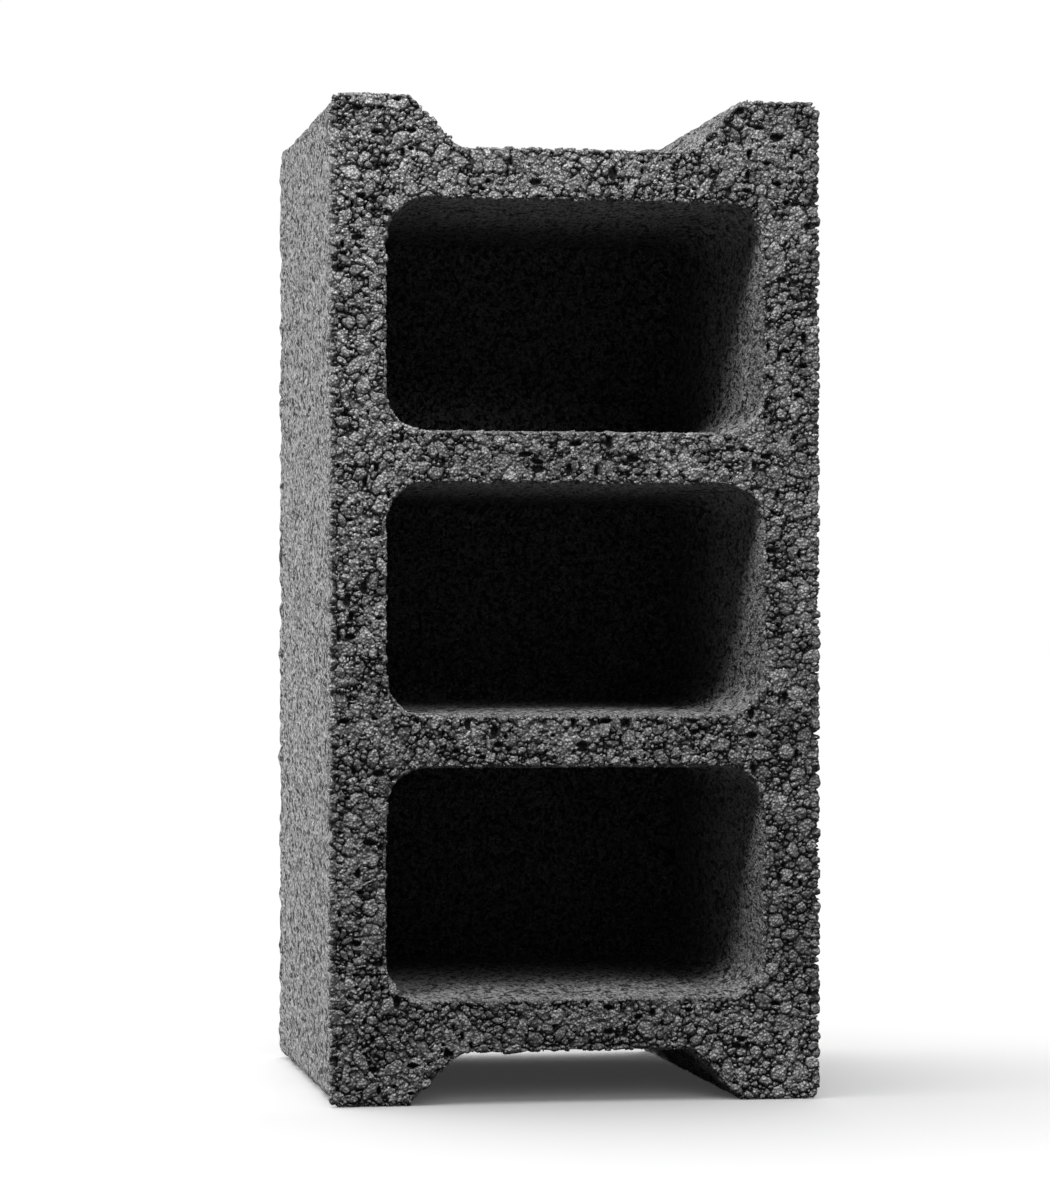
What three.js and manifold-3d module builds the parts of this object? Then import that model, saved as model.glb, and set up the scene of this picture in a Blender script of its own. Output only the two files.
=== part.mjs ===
// A hollow concrete block, pressed in one piece and standing on one of its ends.
// Lengths are in millimetres and +Z is up. The origin is the middle of the footprint, on the floor.
// X runs across the two side shells. The cores open towards -Y, and +Y is the closed bed.
import * as THREE from "three";
import { mergeVertices } from "three/addons/utils/BufferGeometryUtils.js";
import Module from "manifold-3d";

// The whole block.
const LENGTH = 390; // from end to end, which is upright here
const WIDTH = 190; // across the side shells
const HEIGHT = 190; // from the open bed to the closed bed, as it is laid in a wall
const OUTER_CORNER_RADIUS = 5; // where a side shell turns into an end
const ARRIS_RADIUS = 1.5; // every edge of the two beds

// The cores: blind pockets in a row, each left by one core box of the mould.
const CORES = 3;
const SHELL = 21; // side wall beside a core, at its mouth
const WEB = 20.5; // wall between two cores, or between a core and an end recess, at the mouth
const CLOSED_BED = 22; // wall behind the cores
const CORE_DRAFT = 1; // degrees that each core wall leans in, so that the core box pulls out
const CORE_CORNER_RADIUS = 15.5; // the four long corners of a core, at its mouth
const CORE_FLOOR_RADIUS = 8; // where the walls of a core meet its floor

// The end recesses: a wide groove across each end, between two ears, that mortar fills.
const RECESS_DEPTH = 20;
const RECESS_MOUTH = 130; // width between the tips of the ears
const RECESS_FLOOR = 91; // width of the flat at the bottom of the groove
const RECESS_FLOOR_RADIUS = 8; // where the slopes run out into that flat
const EAR_TIP_RADIUS = 3; // where the slopes meet the ends

// How finely curves are divided.
const ARC_STEPS = 8; // on each rounded corner of an outline
const ARRIS_STEPS = 3;
const CORE_FLOOR_STEPS = 5;

const wasm = await Module();
wasm.setup();

// The points of a closed outline whose corners are rounded. The corners run anticlockwise, and each is
// { x, y, radius }. Every corner gives the same number of points.
function roundedOutline(corners) {
  return corners.flatMap(({ x, y, radius }, i) => {
    const corner = new THREE.Vector2(x, y);
    const before = corners[(i + corners.length - 1) % corners.length];
    const after = corners[(i + 1) % corners.length];
    const back = new THREE.Vector2(before.x, before.y).sub(corner).normalize();
    const ahead = new THREE.Vector2(after.x, after.y).sub(corner).normalize();
    const halfAngle = Math.acos(back.dot(ahead)) / 2;
    const tangent = radius / Math.tan(halfAngle);
    const middle = back.clone().add(ahead).normalize();
    const centre = middle.multiplyScalar(radius / Math.sin(halfAngle)).add(corner);
    const start = back.clone().multiplyScalar(tangent).add(corner).sub(centre).angle();
    const end = ahead.clone().multiplyScalar(tangent).add(corner).sub(centre).angle();
    const turnsRight = back.cross(ahead) > 0;
    const arc = new THREE.EllipseCurve(centre.x, centre.y, radius, radius, start, end, turnsRight);
    return arc.getPoints(ARC_STEPS);
  });
}

// A closed solid through a stack of outlines with equal numbers of points, from the lowest z up.
function loft(sections) {
  const count = sections[0].outline.length;
  const positions = sections.flatMap(({ outline, z }) => outline.flatMap((p) => [p.x, p.y, z]));
  const index = [];
  for (let ring = 0; ring + 1 < sections.length; ring++) {
    for (let i = 0; i < count; i++) {
      const low = ring * count + i;
      const lowNext = ring * count + ((i + 1) % count);
      index.push(low, lowNext, lowNext + count, low, lowNext + count, low + count);
    }
  }
  const top = (sections.length - 1) * count;
  for (const [a, b, c] of THREE.ShapeUtils.triangulateShape(sections[0].outline, [])) {
    index.push(c, b, a);
  }
  for (const [a, b, c] of THREE.ShapeUtils.triangulateShape(sections.at(-1).outline, [])) {
    index.push(top + a, top + b, top + c);
  }
  const geometry = new THREE.BufferGeometry();
  geometry.setAttribute("position", new THREE.Float32BufferAttribute(positions, 3));
  return geometry.setIndex(index);
}

// A geometry as a manifold-3d solid, for cutting.
function toSolid(geometry) {
  const bare = geometry.clone();
  bare.deleteAttribute("normal");
  bare.deleteAttribute("uv");
  const merged = mergeVertices(bare, 1e-4);
  return new wasm.Manifold(
    new wasm.Mesh({
      numProp: 3,
      vertProperties: merged.attributes.position.array,
      triVerts: new Uint32Array(merged.index.array),
    }),
  );
}

// A manifold-3d solid as a geometry, for drawing.
function toGeometry(solid) {
  const { vertProperties, triVerts } = solid.getMesh();
  const geometry = new THREE.BufferGeometry();
  geometry.setAttribute("position", new THREE.BufferAttribute(vertProperties, 3));
  geometry.setIndex(new THREE.BufferAttribute(triVerts, 1));
  const faceted = geometry.toNonIndexed();
  faceted.computeVertexNormals();
  return faceted;
}

// The block without its cores, centred on the origin. Its section lies in XY with the ends along Y, and is
// drawn out along Z from the closed bed to the open one.
function solidBlock() {
  const quarter = [
    { x: WIDTH / 2, y: LENGTH / 2, radius: OUTER_CORNER_RADIUS },
    { x: RECESS_MOUTH / 2, y: LENGTH / 2, radius: EAR_TIP_RADIUS },
    { x: RECESS_FLOOR / 2, y: LENGTH / 2 - RECESS_DEPTH, radius: RECESS_FLOOR_RADIUS },
  ];
  const mirrored = (sideX, sideY) =>
    quarter.map(({ x, y, radius }) => ({ x: sideX * x, y: sideY * y, radius }));
  const outline = roundedOutline([
    ...mirrored(1, 1),
    ...mirrored(-1, 1).reverse(),
    ...mirrored(-1, -1),
    ...mirrored(1, -1).reverse(),
  ]);
  const straight = HEIGHT - 2 * ARRIS_RADIUS;
  const block = new THREE.ExtrudeGeometry(new THREE.Shape(outline), {
    depth: straight,
    bevelThickness: ARRIS_RADIUS,
    bevelSize: ARRIS_RADIUS,
    bevelOffset: -ARRIS_RADIUS,
    bevelSegments: ARRIS_STEPS,
  });
  return block.translate(0, 0, -straight / 2);
}

// One core as a solid to be taken out, with its mouth in the plane z = 0 and its floor below it.
function coreBox(width, height) {
  const depth = HEIGHT - CLOSED_BED;
  const lean = Math.tan(THREE.MathUtils.degToRad(CORE_DRAFT));
  const floorRadius = Math.min(CORE_FLOOR_RADIUS, CORE_CORNER_RADIUS - lean * depth - ARRIS_RADIUS);
  const section = (down, inset) => {
    const x = width / 2 - inset;
    const y = height / 2 - inset;
    const radius = CORE_CORNER_RADIUS - inset;
    const corners = [
      { x, y, radius },
      { x: -x, y, radius },
      { x: -x, y: -y, radius },
      { x, y: -y, radius },
    ];
    return { outline: roundedOutline(corners), z: -down };
  };
  // The quarter round at the floor, from the floor's flat up to the drafted wall.
  const sections = [];
  for (let step = 0; step <= CORE_FLOOR_STEPS; step++) {
    const angle = (step / CORE_FLOOR_STEPS) * (Math.PI / 2);
    const down = depth - floorRadius * (1 - Math.cos(angle));
    sections.push(section(down, lean * down + floorRadius * (1 - Math.sin(angle))));
  }
  // The mouth widens by a quarter round, and goes on past the bed so that the cut is clean.
  for (let step = 0; step <= ARRIS_STEPS; step++) {
    const angle = (step / ARRIS_STEPS) * (Math.PI / 2);
    const down = ARRIS_RADIUS * (1 - Math.sin(angle));
    sections.push(section(down, lean * down - ARRIS_RADIUS * (1 - Math.cos(angle))));
  }
  sections.push(section(-ARRIS_RADIUS, -ARRIS_RADIUS));
  return loft(sections);
}

// The block with its row of cores, still centred on the origin.
function hollowBlock() {
  const coreWidth = WIDTH - 2 * SHELL;
  const coreHeight = (LENGTH - 2 * RECESS_DEPTH - (CORES + 1) * WEB) / CORES;
  const pitch = coreHeight + WEB;
  const core = coreBox(coreWidth, coreHeight);
  let solid = toSolid(solidBlock());
  for (let i = 0; i < CORES; i++) {
    const fromMiddle = (i - (CORES - 1) / 2) * pitch;
    solid = solid.subtract(toSolid(core.clone().translate(0, fromMiddle, HEIGHT / 2)));
  }
  return toGeometry(solid);
}

const concrete = new THREE.MeshStandardMaterial({
  name: "lightweight_concrete",
  color: 0x565656,
  roughness: 0.95,
  metalness: 0,
});

const block = new THREE.Mesh(hollowBlock(), concrete);
block.name = "block";
block.rotation.x = Math.PI / 2; // the section stands up, and the open bed turns to -Y
block.position.z = LENGTH / 2; // the lower end comes down to the floor

const part = new THREE.Group();
part.name = "hollow_concrete_block";
part.add(block);

export default part;
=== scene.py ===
import math

import bmesh
import bpy
import numpy as np
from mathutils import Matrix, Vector, noise


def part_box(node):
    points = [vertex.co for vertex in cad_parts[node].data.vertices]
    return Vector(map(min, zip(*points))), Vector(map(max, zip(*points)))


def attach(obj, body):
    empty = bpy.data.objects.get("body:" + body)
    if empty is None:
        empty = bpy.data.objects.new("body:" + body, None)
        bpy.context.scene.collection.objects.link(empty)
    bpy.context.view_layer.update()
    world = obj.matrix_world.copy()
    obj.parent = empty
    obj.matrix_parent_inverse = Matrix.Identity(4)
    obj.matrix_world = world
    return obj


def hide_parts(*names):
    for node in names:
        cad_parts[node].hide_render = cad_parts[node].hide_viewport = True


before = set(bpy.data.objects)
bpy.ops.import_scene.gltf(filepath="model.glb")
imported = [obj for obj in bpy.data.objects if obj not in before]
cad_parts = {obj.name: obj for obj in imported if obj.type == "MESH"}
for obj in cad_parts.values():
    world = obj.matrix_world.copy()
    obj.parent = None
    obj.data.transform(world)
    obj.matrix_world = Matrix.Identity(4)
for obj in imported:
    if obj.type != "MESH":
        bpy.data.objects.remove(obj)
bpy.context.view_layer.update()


# ---- The viewpoint -------------------------------------------------------------------------------------
# The block is seen from just left of its open bed, from a metre and a half away and a little under half
# its height, through a long lens held almost level, so that its upright edges look parallel.
CAMERA_AT = (-0.279, -1.644, 0.181)
CAMERA_TURN = 9.48  # degrees to the right of straight on
CAMERA_TILT = 0.5  # degrees up
LENS = 121.9  # mm
SENSOR = 36  # mm, along the picture's long side

viewpoint = bpy.data.cameras.new("viewpoint")
viewpoint.lens = LENS
viewpoint.sensor_width = SENSOR
camera = bpy.data.objects.new("viewpoint", viewpoint)
camera.location = CAMERA_AT
camera.rotation_euler = (math.radians(90 + CAMERA_TILT), 0, math.radians(-CAMERA_TURN))
bpy.context.scene.collection.objects.link(camera)
bpy.context.scene.camera = camera


# ---- The casting ---------------------------------------------------------------------------------------
# The block is one casting of stiff lava concrete, shaken and pressed into a steel mould and pushed out at
# once. Its skin is a copy of the fitted block's, cut into cells that are fine enough for the relief: the
# finest on the open bed, where the stones are bare, and the coarsest deep in the cores.
MM = 0.001
SEAM = 0.01 * MM  # points this near to each other are one
FLAT = math.radians(0.5)  # faces that turn by less than this from one to the next are one
CELL = 3.0 * MM  # before the finer faces are divided again
ON_A_CUT = 1e-6  # metres from a cut, within which a point counts as on it
OUTER_EDGE = 2.2 * MM  # a longer edge on the outer faces is halved, once
BARE_EDGE = 0.55 * MM  # the same where stones are bare
BARE_HALVINGS = 3
MOUTH_RIM = 6.0 * MM  # how far the bare stones can reach into the mouth of a core
BARE_RIM = 6.5 * MM  # how far they can reach round the block's outer edge
TIGHT_RIM = 3.4 * MM  # the same along the edge of the left side
SIDE_STRIP = 10 * MM  # how near to the left or the right side a point counts as at it
INTO_WALLS = 15  # mm, less than the side shells and the closed bed are thick
INTO_ENDS = 30  # mm, more than an end recess is deep and less than it is with its web

low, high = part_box("block")
core_zone_low = low + Vector((INTO_WALLS, 0, INTO_ENDS)) * MM
core_zone_high = high - Vector((INTO_WALLS, INTO_WALLS, INTO_ENDS)) * MM

casting = bmesh.new()
casting.from_mesh(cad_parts["block"].data)
bmesh.ops.remove_doubles(casting, verts=casting.verts, dist=SEAM)
bmesh.ops.dissolve_limit(casting, angle_limit=FLAT, verts=casting.verts[:], edges=casting.edges[:])
for axis in (2, 0, 1):
    cells = round((high[axis] - low[axis]) / CELL)
    along_axis = Vector([float(axis == i) for i in range(3)])
    for cut in range(1, cells):
        everything = casting.verts[:] + casting.edges[:] + casting.faces[:]
        at = low + (high - low) * (cut / cells)
        bmesh.ops.bisect_plane(
            casting, geom=everything, dist=ON_A_CUT, plane_co=at, plane_no=along_axis
        )


def in_core_zone(place):
    return all(a < b < c for a, b, c in zip(core_zone_low, place, core_zone_high))


def is_outer(face):
    return not in_core_zone(face.calc_center_median())


def can_be_bare(face):
    place = face.calc_center_median()
    rim = TIGHT_RIM if place.x < low.x + SIDE_STRIP else BARE_RIM
    return place.y < low.y + (MOUTH_RIM if in_core_zone(place) else rim)


def split_many_sided():
    """Cuts the faces of more than four sides into triangles."""
    bmesh.ops.triangulate(casting, faces=[f for f in casting.faces if len(f.verts) > 4])
    casting.faces.index_update()


def divide(belongs, longest):
    """Halves every edge over a length, on the faces that belong."""
    split_many_sided()
    mine = {f.index for f in casting.faces if belongs(f)}
    edges = [
        e for e in casting.edges
        if e.calc_length() > longest and any(f.index in mine for f in e.link_faces)
    ]
    bmesh.ops.subdivide_edges(casting, edges=edges, cuts=1, use_grid_fill=True)


divide(is_outer, OUTER_EDGE)
for halving in range(BARE_HALVINGS):
    divide(can_be_bare, BARE_EDGE)
split_many_sided()
bare_faces = np.array([can_be_bare(f) for f in casting.faces])
core_faces = np.array([not is_outer(f) for f in casting.faces]) & ~bare_faces

skin = bpy.data.meshes.new("casting")
casting.to_mesh(skin)
casting.free()


def vectors(points, name):
    """One vector of each point, or each face, of the skin."""
    flat = np.empty(len(points) * 3, np.float32)
    points.foreach_get(name, flat)
    return flat.reshape(-1, 3).astype(float)


def smooth(value, start, end):
    """0 before start, 1 after end, and smooth between."""
    t = np.clip((value - start) / (end - start), 0, 1)
    return t * t * (3 - 2 * t)


def field(where, size, seed):
    """Smooth noise from -1 to 1 at some places, of one size or of one for each axis."""
    scaled = where / size + np.array([seed, 0, 0])
    return np.array([noise.noise(place) for place in scaled.tolist()])


places = vectors(skin.vertices, "co")
outward = vectors(skin.vertices, "normal")
on_a_lining = (places > np.array(core_zone_low)).all(1) & (places < np.array(core_zone_high)).all(1)


# ---- The moulded skin ----------------------------------------------------------------------------------
# All faces but the open bed were formed by steel and slid along it as the block was pushed out. Cement
# smears them almost flat, with drag lines from bed to bed, which lean a little, and with grit and shallow
# pits. The edges have crumbled, and the edge round the closed bed is a lumpy burr.
SWELL = 0.2 * MM
SWELL_WIDTH = 24 * MM
LUMP = 0.35 * MM
LUMP_WIDTH = 6 * MM
DRAG_RISE = 0.18  # how much a drag line climbs on its way to the back
RIDGE = 0.3 * MM
RIDGE_SIZE = np.array([3, 9, 3]) * MM
HOLLOW = 3.2 * MM
HOLLOW_SIZE = np.array([4, 8, 4]) * MM
HOLLOW_START = 0.34  # of the noise, so that hollows are few
CRUMBLED = 1.8  # mm deep at most
CRUMBLED_WIDTH = 4 * MM
CRUMBLED_MORE = 0.15  # added to the noise, so that more than half of an edge has crumbled
EDGE_TURN = (0.0, 0.2)  # how far the skin turns from a flat face, where an edge starts and where it is full
SET_BACK = 0.1 * MM  # all over
BURR = 0.5  # mm high on average
BURR_LUMP = 1.1  # mm more or less from lump to lump
BURR_WIDTH = 4.5 * MM
BURR_REACH = (2 * MM, 9 * MM)  # from the closed bed, where it starts to fall and where it ends
BURR_LOWER = 0.6  # by how much it is lower on the closed bed itself
FACING_BACK = (0.5, 0.9)  # how squarely the skin faces back, where the closed bed starts and is full

drawn = places.copy()
drawn[:, 2] -= DRAG_RISE * places[:, 1]
relief = SWELL * field(places, SWELL_WIDTH, seed=0)
relief += LUMP * field(places, LUMP_WIDTH, seed=7)
relief += RIDGE * field(drawn, RIDGE_SIZE, seed=3)
relief -= HOLLOW * np.maximum(0, field(drawn, HOLLOW_SIZE, seed=9) - HOLLOW_START)
on_an_edge = smooth(1 - np.abs(outward).max(1), *EDGE_TURN)
relief -= np.maximum(0, field(places, CRUMBLED_WIDTH, seed=5) + CRUMBLED_MORE) * on_an_edge * CRUMBLED * MM
relief -= SET_BACK
near_back = 1 - smooth(high.y - places[:, 1], *BURR_REACH)
near_back *= 1 - BURR_LOWER * smooth(outward[:, 1], *FACING_BACK)
relief += MM * near_back * (BURR + BURR_LUMP * field(places, BURR_WIDTH, seed=15))


def keep(name, numbers):
    """Keeps a number or a vector for each point of the skin, which a finish can read."""
    kind, holds = ("FLOAT", "value") if numbers.ndim == 1 else ("FLOAT_VECTOR", "vector")
    layer = skin.attributes.new(name, kind, "POINT")
    layer.data.foreach_set(holds, numbers.astype(np.float32).ravel())


# The finish's own drag pattern is laid out in a frame that is squeezed along the drag, and that leans with
# it on the outer faces.
DRAG_LEAN = math.radians(10)
OUTER_STRETCH = 2.1
LINING_STRETCH = 2.2
pulled = np.empty_like(places)
pulled[:, 0] = places[:, 0]
pulled[:, 1] = places[:, 1] * math.cos(DRAG_LEAN) + places[:, 2] * math.sin(DRAG_LEAN)
pulled[:, 1] /= OUTER_STRETCH
pulled[:, 2] = places[:, 2] * math.cos(DRAG_LEAN) - places[:, 1] * math.sin(DRAG_LEAN)
squeezed = places / np.array([1, LINING_STRETCH, 1])
keep("pulled", np.where(on_a_lining[:, None], squeezed, pulled))

# A lining is darkened with painted shade, which deepens towards the closed end of its core.
LINING_SHADE_DEEPENS = (60 * MM, 130 * MM)  # how far back it starts, and where it is full
LINING_SHADE_DEEPER = 1.5  # times as much again at the closed end as at the mouth
keep("lining", on_a_lining * (1 + LINING_SHADE_DEEPER * smooth(places[:, 1] - low.y, *LINING_SHADE_DEEPENS)))


class Shade:
    """A socket of a finish. Arithmetic on it adds Math nodes."""

    def __init__(self, finish, socket):
        self.finish = finish
        self.socket = socket

    def math(self, operation, *operands):
        return self.finish.node("ShaderNodeMath", {"operation": operation}, dict(enumerate(operands)))

    def __add__(self, other):
        return self.math("ADD", self, other)

    def __radd__(self, other):
        return self.math("ADD", other, self)

    def __sub__(self, other):
        return self.math("SUBTRACT", self, other)

    def __rsub__(self, other):
        return self.math("SUBTRACT", other, self)

    def __mul__(self, other):
        return self.math("MULTIPLY", self, other)

    def __rmul__(self, other):
        return self.math("MULTIPLY", other, self)

    def over(self, start, end):
        """0 below start, 1 above end, and smooth between."""
        settings = {"interpolation_type": "SMOOTHSTEP"}
        return self.finish.node("ShaderNodeMapRange", settings, {0: self, 1: start, 2: end})


class Finish:
    """The nodes of a material, or of the room round the block."""

    def __init__(self, owner):
        owner.use_nodes = True
        self.tree = owner.node_tree
        self.tree.nodes.clear()

    def node(self, kind, settings, inputs, output=0):
        """Adds a node and gives one of its outputs."""
        made = self.tree.nodes.new(kind)
        for name, value in settings.items():
            setattr(made, name, value)
        for name, value in inputs.items():
            if isinstance(value, Shade):
                self.tree.links.new(value.socket, made.inputs[name])
            else:
                made.inputs[name].default_value = value
        return None if output is None else Shade(self, made.outputs[output])

    def grey(self, value):
        """The grey of a value."""
        return self.node("ShaderNodeCombineColor", {}, {"Red": value, "Green": value, "Blue": value})


lava_concrete = bpy.data.materials.new("lava_concrete")
concrete = Finish(lava_concrete)
position = concrete.node("ShaderNodeTexCoord", {}, {}, "Object")
dragged = concrete.node("ShaderNodeAttribute", {"attribute_name": "pulled"}, {}, "Vector")


def kept(name):
    """A number that the skin keeps."""
    return concrete.node("ShaderNodeAttribute", {"attribute_name": name}, {}, "Fac")


def grain(size, detail=1.0, aside=0.0):
    """Noise from 0 to 1 with features of about one size, drawn out by the drag."""
    where = concrete.node(
        "ShaderNodeVectorMath", {"operation": "ADD"}, {0: dragged, 1: (aside, aside, aside)}
    )
    inputs = {"Vector": where, "Scale": 1 / size, "Detail": detail, "Roughness": 0.6}
    return concrete.node("ShaderNodeTexNoise", {}, inputs)


def granules(size, where):
    """1 in the middle of each granule of about one size, and 0 between them."""
    inputs = {"Vector": where, "Scale": 1 / size}
    return 1 - concrete.node("ShaderNodeTexVoronoi", {}, inputs).over(0.1, 0.7)


DULLNESS = 0.92
SHINE = 0.2


def dull(shade, height):
    """A dry matt surface of a grey, with a height in millimetres."""
    bump = concrete.node("ShaderNodeBump", {}, {"Strength": 1.0, "Distance": 1.0 * MM, "Height": height})
    return concrete.node(
        "ShaderNodeBsdfPrincipled", {},
        {
            "Base Color": concrete.grey(shade),
            "Roughness": DULLNESS,
            "Specular IOR Level": SHINE,
            "Normal": bump,
        },
    )


# Light threads and streaks of cement, with grit in it and broader smears, and pits between them that are
# darkened with painted shade.
THREAD_WIDTH = 0.9 * MM
STREAK_WIDTH = 2.0 * MM
SMEAR_WIDTH = 6 * MM
GRIT_SIZE = 1.5 * MM
PIT_WIDTH = 2.4 * MM
THREAD_GREY = 0.22
STREAK_GREY = 0.11
SMEAR_GREY = 0.05
GRIT_GREY = 0.15
PIT_PAINTED_SHADE = 0.85
LINING_PAINTED_SHADE = 0.2
THREAD_HEIGHT = 0.9  # mm, of a light thread above a dark one
STREAK_HEIGHT = 1.0
PIT_DEPTH = 1.4
LIGHT = (0.43, 0.57)  # of the noise, where a thread or a streak turns from dark to light
PITTED = (0.59, 0.63)  # of the noise, where a pit starts and where it is full

lining_shade = kept("lining")
thread = grain(THREAD_WIDTH, detail=2.0, aside=0.9)
streak = grain(STREAK_WIDTH)
smear = grain(SMEAR_WIDTH, aside=0.3)
pit = (grain(PIT_WIDTH, aside=0.5) + 0.01 * lining_shade).over(*PITTED)
cement = STREAK_GREY * streak.over(*LIGHT) + THREAD_GREY * thread.over(*LIGHT)
cement = cement + GRIT_GREY * granules(GRIT_SIZE, dragged) + SMEAR_GREY * smear.over(0.35, 0.7)
# The linings are darkened with painted shade, deepest at the closed ends of the cores.
cement = cement * (1 - PIT_PAINTED_SHADE * pit) * (1 - LINING_PAINTED_SHADE * lining_shade)
moulded = dull(cement, STREAK_HEIGHT * streak + THREAD_HEIGHT * thread - PIT_DEPTH * pit)


# ---- The open bed --------------------------------------------------------------------------------------
# The bed that the press left open shows the bare lava stones, 1 to 7 mm across, bedded shoulder to shoulder
# with cement only where they touch. Between them are thin cracks, and holes where a stone is missing.
SIEVES = (3.6 * MM, 2.5 * MM, 1.7 * MM, 1.1 * MM, 0.8 * MM, 0.5 * MM)  # the stones' radii, grade by grade
TRIES = (900, 4000, 14000, 40000, 90000)  # places tried for the stones of each grade
EDGE_TRIES = 500  # the same for those along the left and the right edge
EDGE_RADIUS = (1.5, 2.2)  # mm, smallest and largest there
EDGE_WORN = 1.1  # mm more on the largest where the stones are worn
LONGEST = 1.65  # how much longer than round a stone can be
WORN_SHORTER = 0.35  # how much less that is where the stones are worn
SIDES = 6  # of a stone's outline
SIDE_TURN = 0.3  # radians, how unevenly the sides lie round it
SIDE_OUT = (0.78, 1.12)  # of the radius, from its middle to a side
ROUND_SHARE = 0.2  # how round a sharp stone's outline is, from that to an oval
WORN_ROUNDER = 0.4  # how much rounder a worn one's is
CLEAR_OF_STONES = 0.76  # of a stone's radius, at its middle
CLEAR_OF_HOLES = 0.4
HOLES = 400
HOLE_RADIUS = (0.5 * MM, 1.8 * MM)
HOLE_DEPTH = 3.2 * MM
HOLE_STRETCH = np.array([1.4, 1, 0.75])  # of a hole that lies down, and turned round of one that stands up
WORN_HOLE = 0.35  # how much smaller a hole is where the stones are worn
GATHER = 2.5 * MM
FAR = 10 * MM  # further than any stone or hole is felt
LEEWAY = 0.1 * MM

rng = np.random.default_rng(17)
rim_here = np.where(places[:, 0] < low.x + SIDE_STRIP, TIGHT_RIM, BARE_RIM)
bed = np.flatnonzero(places[:, 1] < low.y + rim_here + LEEWAY)
bed_places = places[bed]
bed_outward = outward[bed]

groups = {}
for i, cell in enumerate(np.floor(bed_places / GATHER).astype(int).tolist()):
    groups.setdefault(tuple(cell), []).append(i)
groups = {cell: np.array(members) for cell, members in groups.items()}


def gathered(place, reach):
    """The bed's points within reach of a place."""
    first = np.floor((place - reach) / GATHER).astype(int)
    last = np.floor((place + reach) / GATHER).astype(int) + 1
    found = [
        groups[x, y, z]
        for x in range(first[0], last[0])
        for y in range(first[1], last[1])
        for z in range(first[2], last[2])
        if (x, y, z) in groups
    ]
    near = np.concatenate(found)
    return near[((bed_places[near] - place) ** 2).sum(1) < reach * reach]


# Stones are uneven, so each point of the bed is judged from a place that wanders a little.
WANDER = 0.35 * MM
WANDER_WIDTH = 2.4 * MM
TREMBLE = 0.25 * MM
TREMBLE_WIDTH = 1.1 * MM
wandered = bed_places.copy()
for axis in range(3):
    wandered[:, axis] += WANDER * field(bed_places, WANDER_WIDTH, seed=10 + axis)
    wandered[:, axis] += TREMBLE * field(bed_places, TREMBLE_WIDTH, seed=20 + axis)

# The stones are broken and sharp up on the left of the bed, and worn round low down on the right.
WORN_PATCH = 50 * MM
across_bed = bed_places[:, 0] / high.x - bed_places[:, 2] / high.z
worn = smooth(across_bed + 0.3 * field(bed_places, WORN_PATCH, seed=55), 0.0, 0.8)

hole_edge = np.full(len(bed), FAR)
for hole in rng.integers(0, len(bed), HOLES):
    radius = HOLE_RADIUS[0] + (HOLE_RADIUS[1] - HOLE_RADIUS[0]) * rng.random() ** 1.6
    radius *= 1 - WORN_HOLE * worn[hole]
    near = gathered(bed_places[hole], radius + 4 * MM)
    stretch = HOLE_STRETCH if rng.random() < 0.5 else HOLE_STRETCH[::-1]
    away = np.linalg.norm((wandered[near] - bed_places[hole]) / stretch, axis=1) - radius
    hole_edge[near] = np.minimum(hole_edge[near], away)

EAR_RISE = (362 * MM, 380 * MM)  # up from the floor, where the left ear starts and where it is full
EAR_REACH = (30 * MM, 60 * MM)  # to the left of the middle, the same


def at_left_ear(where):
    """1 at the upper left ear, and 0 away from it."""
    return smooth(where[:, 2], *EAR_RISE) * smooth(-where[:, 0], *EAR_REACH)


# Where the bed is coarse, the large grades find room first. The left ear is finer than the rest.
COARSE_PATCH = 70 * MM
COARSE_SPOT = 16 * MM
PATCHINESS = 0.9
SPOTTINESS = 0.8
EAR_FINER = 0.6
coarseness = PATCHINESS * field(bed_places, COARSE_PATCH, seed=245)
coarseness += SPOTTINESS * field(bed_places, COARSE_SPOT, seed=30)
coarseness -= EAR_FINER * at_left_ear(bed_places)

# What each point of the bed knows: its room, the two stones that it is nearest to, and how near they are.
NO_STONE = -1
NOT_NEAR = 1e3
clearance = np.full(len(bed), FAR)
nearest = np.full(len(bed), NOT_NEAR)
second = np.full(len(bed), NOT_NEAR)
owner = np.full(len(bed), NO_STONE)
neighbour = np.full(len(bed), NO_STONE)
stones = []


def bed_stone(seat, radius):
    """Puts a stone at a point of the bed, if there is room, and gives it the points nearest to it."""
    if clearance[seat] < CLEAR_OF_STONES * radius or hole_edge[seat] < CLEAR_OF_HOLES * radius:
        return
    stretch = rng.uniform(1.0, LONGEST - WORN_SHORTER * worn[seat])
    up = bed_outward[seat]
    along = np.cross(up, rng.normal(size=3))
    along /= np.linalg.norm(along)
    across = np.cross(up, along)
    near = gathered(bed_places[seat], 2.2 * radius * stretch + 1 * MM)
    away = wandered[near] - bed_places[seat]
    parts = away @ np.array([along / stretch, across * stretch, up * stretch]).T / radius
    turns = np.arange(SIDES) * np.pi / (SIDES / 2) + rng.normal(0, SIDE_TURN, SIDES)
    sides = np.array([np.cos(turns), np.sin(turns)]) / rng.uniform(*SIDE_OUT, SIDES)
    angular = np.hypot((parts[:, :2] @ sides).max(1), parts[:, 2])
    round_share = ROUND_SHARE + WORN_ROUNDER * worn[seat]
    rim = round_share * np.sqrt((parts * parts).sum(1)) + (1 - round_share) * angular
    distance = np.linalg.norm(away, axis=1)
    clearance[near] = np.minimum(clearance[near], distance * (1 - 1 / np.maximum(rim, 0.05)))
    power = (rim * rim - 1) * radius * radius
    wins = power < nearest[near]
    runs_up = ~wins & (power < second[near])
    winners = near[wins]
    second[winners] = nearest[winners]
    neighbour[winners] = owner[winners]
    nearest[winners] = power[wins]
    owner[winners] = len(stones)
    second[near[runs_up]] = power[runs_up]
    neighbour[near[runs_up]] = len(stones)
    stones.append((*bed_places[seat], *along, *across, radius, stretch, worn[seat]))


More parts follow.
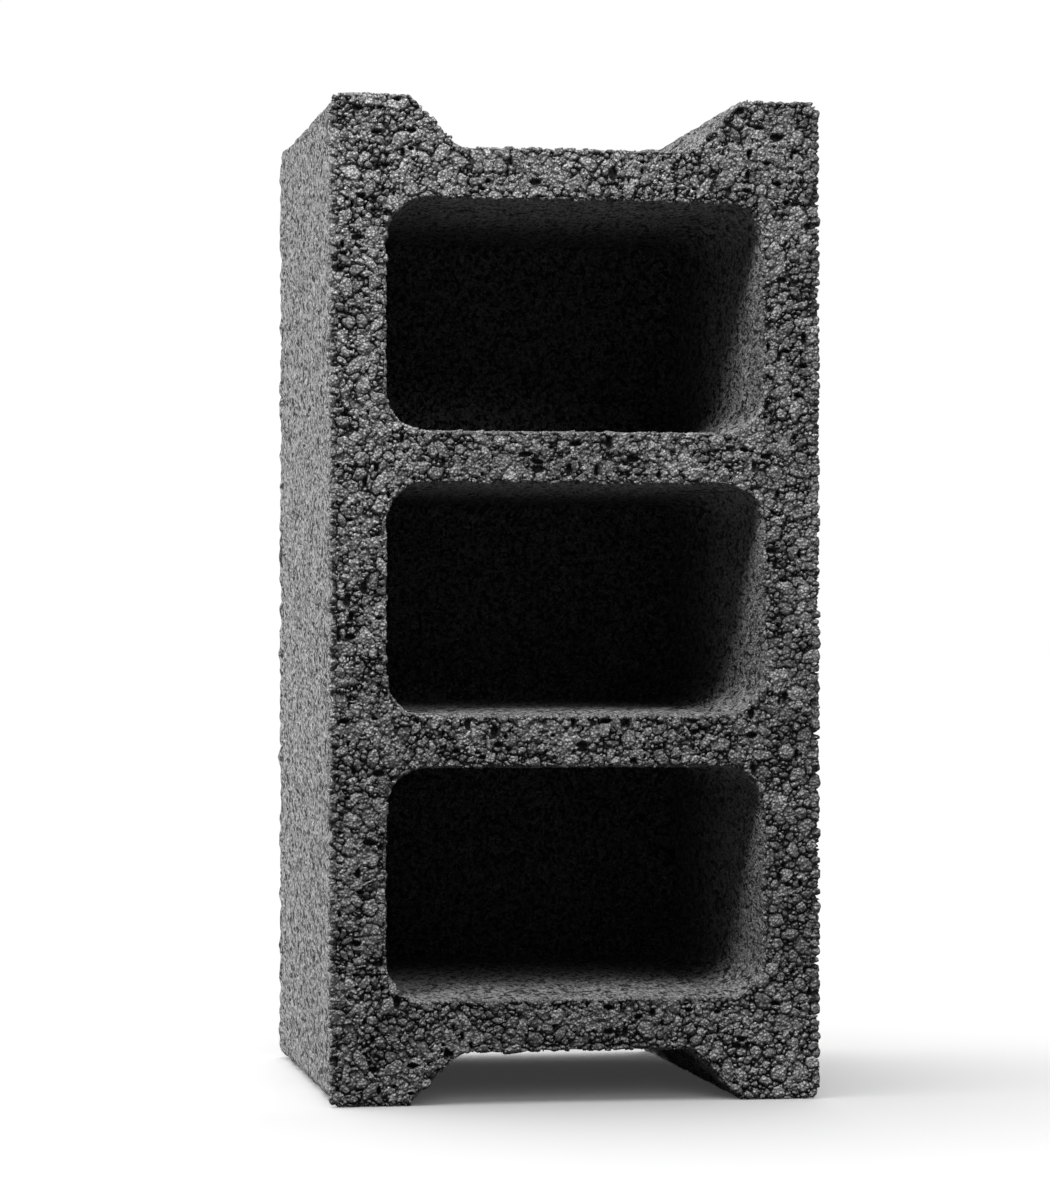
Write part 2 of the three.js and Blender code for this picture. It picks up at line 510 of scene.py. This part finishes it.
ON_THE_EDGE = 0.5 * MM
edge_points = np.flatnonzero(np.abs(bed_places[:, 0]) > high.x - ON_THE_EDGE)
for seat in rng.choice(edge_points, EDGE_TRIES):
    bed_stone(seat, rng.uniform(EDGE_RADIUS[0], EDGE_RADIUS[1] + EDGE_WORN * worn[seat]) * MM)
edge_count = len(stones)
COARSE_ENOUGH = (-0.9, 0.5)  # the least that the largest grade needs, drawn for each place
GRADE_EASIER = 0.35  # how much less each smaller grade needs
for grade, tries in enumerate(TRIES):
    for seat in rng.integers(0, len(bed), tries):
        if coarseness[seat] > rng.uniform(*COARSE_ENOUGH) - GRADE_EASIER * grade:
            bed_stone(seat, rng.uniform(SIEVES[grade + 1], SIEVES[grade]))

stones = np.array(stones)
centre, along, across = stones[:, 0:3], stones[:, 3:6], stones[:, 6:9]
mean_radius, lengthening, wear = stones[:, 9:12].T
short_radius = mean_radius / lengthening
count = len(stones)

# Most stones lie about level with the bed and one in five is sunk. Those along the edges stand proud.
LEVEL = (-0.12, 0.25)  # mm above the bed, the middle and the spread
LEVEL_LIMITS = (-0.7, 0.35)  # mm
SUNK_SHARE = 0.2
SUNK = (0.3, 1.0)  # mm deeper
PROUD = (0.0, 0.4)  # mm above the bed
EAR_LESS_PROUD = 0.7
level = np.clip(rng.normal(*LEVEL, count), *LEVEL_LIMITS) * MM
level -= (rng.random(count) < SUNK_SHARE) * rng.uniform(*SUNK, count) * MM
level[:edge_count] = rng.uniform(*PROUD, edge_count) * MM
level[:edge_count] *= 1 - EAR_LESS_PROUD * at_left_ear(centre[:edge_count])

# Worn stones are domed and have broad shoulders, which are shares of a stone's radius. Few are pale.
WORN_DOME = 0.15
EDGE_DOME = 0.2
SHOULDER = (0.06, 0.16)
WORN_SHOULDER = 0.12
EDGE_SHOULDER = 0.15
PALE_RARITY = 1.5
dome = WORN_DOME * wear
dome[:edge_count] = EDGE_DOME
paleness = rng.uniform(0, 1, count) ** PALE_RARITY
shoulder = (rng.uniform(*SHOULDER, count) + WORN_SHOULDER * wear) * short_radius
shoulder[:edge_count] += EDGE_SHOULDER * short_radius[:edge_count]

# A stone's top is two or three broken facets.
FACETS = 3
FACET_TURN = 2.1  # radians from one to the next, about a third of a turn
FACET_FALL = (0.05, 0.5)  # slopes
WORN_FLATTER = 0.5
FACET_LIFT = (0.0, 0.3)  # of a stone's radius
facet_turn = rng.uniform(0, 2 * np.pi, count)
facet_fall = rng.uniform(*FACET_FALL, (count, FACETS)) * (1 - WORN_FLATTER * wear[:, None])
facet_lift = rng.uniform(*FACET_LIFT, (count, FACETS)) * short_radius[:, None]
away = wandered - centre[owner]
lengthwise = (away * along[owner]).sum(1)
sideways = (away * across[owner]).sum(1)
facets = []
for n in range(FACETS):
    turn = facet_turn[owner] + n * FACET_TURN
    fall = lengthwise * np.cos(turn) + sideways * np.sin(turn)
    facets.append(facet_lift[owner, n] - facet_fall[owner, n] * fall)

# It falls away over its shoulder into the crack round it, or into a hole.
GAP = 0.3 * MM  # from a crack's middle to the shoulder, where it is widest
GAP_PATCH = 2.5 * MM
LOOSE_PATCH = 9 * MM
FALL = 0.22 * MM  # how wide the steepest shoulder is
EDGE_TOP = 0.5  # mm, the highest that a stone stands out of the bed at an edge
TOP = 0.8  # mm, the same elsewhere
SHALLOW = 0.7  # mm, the shallowest crack
DEEPER = 1.6  # mm more in the deepest
CRACK_PATCH = 3 * MM
EDGE_CRACK = 0.5 * MM  # how much shallower the cracks are round the stones of the edges
EDGE_SWELL = 1.7 * MM  # how far the rounded edges at the two sides swell out
ROUGH = 0.2 * MM
ROUGH_WIDTH = 0.9 * MM
COARSE = 0.16 * MM
COARSE_WIDTH = 1.7 * MM
has_stone = owner != NO_STONE
at_an_edge = has_stone & (owner < edge_count)
rim = np.sqrt(np.maximum(nearest / mean_radius[owner] ** 2 + 1, 0))
between = np.linalg.norm(centre[owner] - centre[neighbour], axis=1)
border = (second - nearest) / (2 * np.maximum(between, 0.5 * MM))
edge = np.minimum(np.minimum(border, (1.35 - rim) * short_radius[owner]), hole_edge)
looseness = field(bed_places, LOOSE_PATCH, seed=90)
gap = GAP * smooth(field(bed_places, GAP_PATCH, seed=80) + 0.9 * looseness, -0.5, 0.8)
inside = np.clip((edge - gap) / (FALL + shoulder[owner]), 0, 1)
top = level[owner] + np.minimum.reduce(facets) - dome[owner] * rim * rim * short_radius[owner]
top = np.minimum(top, np.where(at_an_edge, EDGE_TOP, TOP) * MM)
uneven = smooth(field(bed_places, CRACK_PATCH, seed=40) + 0.8 * looseness, -0.6, 0.4)
crack = -(SHALLOW + DEEPER * uneven) * MM + EDGE_CRACK * at_an_edge
crack = np.where(hole_edge < 0, -HOLE_DEPTH, crack)
height = crack + (top - crack) * np.sqrt(1 - (1 - inside) ** 2)
height = np.where(has_stone, height, crack)
at_a_side = np.abs(bed_places[:, 0]) > high.x - SIDE_STRIP
height += EDGE_SWELL * at_a_side * smooth(np.abs(bed_outward[:, 0]), 0.2, 0.8)
broken = ROUGH * field(bed_places, ROUGH_WIDTH, seed=50)
broken += COARSE * field(bed_places, COARSE_WIDTH, seed=60)
height += broken

# Round the edge of a core the stones end where the core box touched them, and at the block's outer edge
# they show a little way round it.
RAGGED = 1.2 * MM
RAGGED_WIDTH = 3 * MM
WRAPPED = (3.0 * MM, 6.0 * MM)  # back from the bed, where the stones thin out round the outer edge
MOUTH = (0.9 * MM, 5.2 * MM)  # the same in the mouth of a core
LEFT_REACH = 0.45  # of that, along the left side
ragged = bed_places[:, 1] - low.y + RAGGED * field(bed_places, RAGGED_WIDTH, seed=70)
reach = np.where(bed_places[:, 0] < low.x + SIDE_STRIP, LEFT_REACH, 1)
wrapped = 1 - smooth(ragged, WRAPPED[0] * reach, WRAPPED[1] * reach)
mouth = 1 - smooth(ragged, *MOUTH)
turns_in = on_a_lining[bed] & (bed_outward[:, 1] > -0.9)
bareness = np.where(turns_in, mouth, wrapped)
relief[bed] = bareness * height + (1 - bareness) * relief[bed]
moved = places + outward * relief[:, None]
moved[:, 2] = np.maximum(moved[:, 2], low.z)
skin.vertices.foreach_set("co", moved.astype(np.float32).ravel())
skin.polygons.foreach_set("use_smooth", [True] * len(skin.polygons))


def keep_on_bed(name, on_bed, elsewhere=0.0):
    """Keeps a number for each point of the bed, and one for all the rest."""
    numbers = np.full(len(places), elsewhere)
    numbers[bed] = on_bed
    keep(name, numbers)


# Painted light: the stones are made paler low down on the right, up on the left and along the upper web.
PAINTED_LIGHT_AT_FOOT = np.array([78, -95, 10]) * MM
FOOT_FADES = (12 * MM, 36 * MM)  # away from there
UPPER_WEB = (335 * MM, 360 * MM)  # up from the floor, where it starts and where it is full
WEB_RUNS = (-70 * MM, -40 * MM)  # to the left of the middle, the same
UP_LEFT = (0.8, 1.6)  # the same across the bed
FOOT_PAINTED_LIGHT = 0.8
END_PAINTED_LIGHT = 0.3
LOOSE_DARKER = 0.5
foot_painted_light = 1 - smooth(np.linalg.norm(bed_places - PAINTED_LIGHT_AT_FOOT, axis=1), *FOOT_FADES)
upper_web = smooth(bed_places[:, 2], *UPPER_WEB) * smooth(-bed_places[:, 0], *WEB_RUNS)
end_painted_light = np.maximum(smooth(-across_bed, *UP_LEFT), upper_web)
tone = np.where(has_stone, paleness[owner], 0) - LOOSE_DARKER * looseness
tone = tone + FOOT_PAINTED_LIGHT * foot_painted_light + END_PAINTED_LIGHT * end_painted_light
# The paleness holds each stone's own tone, darker loose patches and that painted light.
keep_on_bed("paleness", np.clip(tone, -0.4, 1.6), elsewhere=0.5)
keep_on_bed("bareness", bareness)
# The crack number is painted shade, full in the cracks and holes round the stones.
keep_on_bed("crack", np.clip(1 - 1.6 * inside, 0, 1))

# A bare stone is a clot of lava crumbs. The dark between the crumbs and in the cracks and holes round it is
# painted shade.
CRUMB = 1.3 * MM
FINE_CRUMB = 0.7 * MM
LAVA_GREY = 0.22
PALER = 0.18
SHADE_BETWEEN_CRUMBS = 0.17  # of the grey
ON_CRUMBS = 1.4  # of the grey, more than between them
CRACK_PAINTED_SHADE = 0.88
CRUMB_HEIGHT = 0.4  # mm
crumbs = granules(CRUMB, position)
speck = 0.6 * crumbs + 0.4 * granules(FINE_CRUMB, position)
lava = (LAVA_GREY + PALER * kept("paleness")) * (SHADE_BETWEEN_CRUMBS + ON_CRUMBS * speck)
stone = dull(lava * (1 - CRACK_PAINTED_SHADE * kept("crack").over(0.2, 1.0)), CRUMB_HEIGHT * crumbs)
both = concrete.node("ShaderNodeMixShader", {}, {0: kept("bareness"), 1: moulded, 2: stone})
concrete.node("ShaderNodeOutputMaterial", {}, {"Surface": both}, None)

dressed = []


def take(name, mine):
    """A piece of the casting, with the faces that are its own."""
    part = bmesh.new()
    part.from_mesh(skin)
    part.faces.ensure_lookup_table()
    bmesh.ops.delete(part, geom=[part.faces[i] for i in np.flatnonzero(~mine).tolist()], context="FACES")
    mesh = bpy.data.meshes.new(name)
    part.to_mesh(mesh)
    part.free()
    mesh.materials.append(lava_concrete)
    piece = bpy.data.objects.new(name, mesh)
    bpy.context.scene.collection.objects.link(piece)
    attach(piece, "root")
    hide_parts("block")
    dressed.append(piece)


STOREYS = ("open_bed_foot", "open_bed_lower", "open_bed_upper", "open_bed_top")
face_places = vectors(skin.polygons, "center")
storey_height = (high.z - low.z) / len(STOREYS)
storey = np.clip((face_places[:, 2] - low.z) / storey_height, 0, len(STOREYS) - 1).astype(int)
for n, name in enumerate(STOREYS):
    take(name, bare_faces & (storey == n))


# ---- The core linings ----------------------------------------------------------------------------------
# The walls and floors of the three blind cores are the same concrete. Three tapered steel core boxes formed
# them and left through the open bed, so their skin is smeared the same way and has no bare stones.
take("core_linings", core_faces)


# ---- The outer faces -----------------------------------------------------------------------------------
# The sides, the grooved ends and the closed bed are the same concrete too, formed by the mould's walls and
# floor. They are kept as a front and a back half, which meet half-way between the two beds.
in_front = face_places[:, 1] < (low.y + high.y) / 2
outer_faces = ~bare_faces & ~core_faces
take("moulded_front_half", outer_faces & in_front)
take("moulded_back_half", outer_faces & ~in_front)


# ---- The floor -----------------------------------------------------------------------------------------
# The block stands on a matt white floor that runs out of sight. It looks whiter than it is to the light
# that lands on it, so that it throws little of that light back up at the block.
FLOOR_SIZE = 60
FLOOR_GREY = 0.2  # to the light that lands on it
SEEN_WHITER = 1.9
VEIL = 0.035  # a trace of light of its own, where it is seen

floor_bm = bmesh.new()
bmesh.ops.create_grid(floor_bm, x_segments=1, y_segments=1, size=FLOOR_SIZE / 2)
floor_mesh = bpy.data.meshes.new("floor")
floor_bm.to_mesh(floor_mesh)
floor_bm.free()
floor = bpy.data.objects.new("floor", floor_mesh)
bpy.context.scene.collection.objects.link(floor)


def in_view(finish):
    """1 for what is seen straight on, in a gloss or through glass, and 0 for light that lands."""
    straight, glossy, through = [
        finish.node("ShaderNodeLightPath", {}, {}, f"Is {ray} Ray")
        for ray in ("Camera", "Glossy", "Transmission")
    ]
    return straight + glossy + through


white_floor = bpy.data.materials.new("white_floor")
white = Finish(white_floor)
seen = in_view(white)
paint = white.node("ShaderNodeBsdfDiffuse", {}, {"Color": white.grey(FLOOR_GREY + SEEN_WHITER * seen)})
veil = white.node("ShaderNodeEmission", {}, {"Color": white.grey(seen), "Strength": VEIL})
lit = white.node("ShaderNodeAddShader", {}, {0: paint, 1: veil})
white.node("ShaderNodeOutputMaterial", {}, {"Surface": lit}, None)
floor_mesh.materials.append(white_floor)


# ---- The lamps -----------------------------------------------------------------------------------------
# Round soft lamps stand in front of the block, above it and at its left. Each lights either the block or
# the floor, so that the floor can be bright while the block stays dark, and a wide sky lights the floor.
block_only = bpy.data.collections.new("block_only")
for piece in dressed:
    block_only.objects.link(piece)
floor_only = bpy.data.collections.new("floor_only")
floor_only.objects.link(floor)


def soft_lamp(name, place, aim, size, watts, lights_up=block_only):
    """A round lamp, aimed at a place."""
    light = bpy.data.lights.new(name, "AREA")
    light.shape = "DISK"
    light.size = size
    light.energy = watts
    lamp = bpy.data.objects.new(name, light)
    lamp.location = place
    lamp.rotation_euler = (Vector(aim) - lamp.location).to_track_quat("-Z", "Y").to_euler()
    bpy.context.scene.collection.objects.link(lamp)
    lamp.light_linking.receiver_collection = lights_up


soft_lamp("key", place=(-0.39, -0.585, 1.01), aim=(0, -0.095, 0.25), size=0.45, watts=12.2)
soft_lamp("fill", place=(0.3, -0.8, 0.88), aim=(0, -0.095, 0.2), size=0.6, watts=4.6)
soft_lamp("side", place=(-0.65, 0.2, 0.09), aim=(-0.095, 0, 0.1), size=0.4, watts=4.7)
soft_lamp("low", place=(0, -1.7, 0.9), aim=(0, -0.095, 0), size=1.2, watts=3, lights_up=floor_only)

SKY_STRENGTH = 1.42
SKY_WIDTH = 100  # degrees across
SKY_MIDDLE = (-0.25, 0.25, 0.93)  # the way to it from the block
sky = bpy.data.lights.new("overhead", "SUN")
sky.energy = SKY_STRENGTH
sky.angle = math.radians(SKY_WIDTH)
overhead = bpy.data.objects.new("overhead", sky)
overhead.rotation_euler = Vector(SKY_MIDDLE).to_track_quat("Z", "Y").to_euler()
bpy.context.scene.collection.objects.link(overhead)
overhead.light_linking.receiver_collection = floor_only


# ---- The room ------------------------------------------------------------------------------------------
# The room round the block is plain white where it is seen, and dim in the light that it gives, so that the
# lamps alone shape the block.
ROOM_LIGHT = 0.05
ROOM_SEEN = 1.0
room = bpy.data.worlds.new("room")
around = Finish(room)
dim, bright = [
    around.node("ShaderNodeBackground", {}, {"Color": (1, 1, 1, 1), "Strength": strength})
    for strength in (ROOM_LIGHT, ROOM_SEEN)
]
backdrop = around.node("ShaderNodeMixShader", {}, {0: in_view(around), 1: dim, 2: bright})
around.node("ShaderNodeOutputWorld", {}, {"Surface": backdrop}, None)
bpy.context.scene.world = room
bpy.context.scene.view_settings.view_transform = "Standard"
